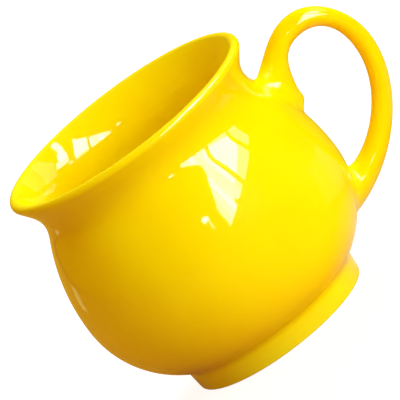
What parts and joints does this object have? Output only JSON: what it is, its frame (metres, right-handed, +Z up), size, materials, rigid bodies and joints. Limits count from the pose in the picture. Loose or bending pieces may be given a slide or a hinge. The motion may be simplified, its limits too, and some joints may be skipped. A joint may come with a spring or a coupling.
{
  "type": "coffee cup",
  "caption": "Glazed ceramic coffee cup with a round belly, narrow neck, flared rim, ear-shaped side handle and foot ring; holds a hot drink and stands on a table.",
  "frame": {"origin": "on the table plane, under the middle of the box of the cup and its handle", "axes": "+Z up along the bowl's axis, +X from the bowl towards the handle, +Y across the handle's plane"},
  "size_m": [0.1442, 0.11, 0.0958],
  "materials": {
    "yellow_glaze": "clear gloss over bright yellow",
    "glazed_slip": "fired slip under the same yellow gloss glaze"
  },
  "bodies": {
    "root": {"bowl": "yellow_glaze", "foot_ring": "yellow_glaze", "foot_slip_joint": "glazed_slip", "handle": "yellow_glaze", "upper_slip_joint": "glazed_slip", "lower_slip_joint": "glazed_slip"}
  },
  "joints": []
}
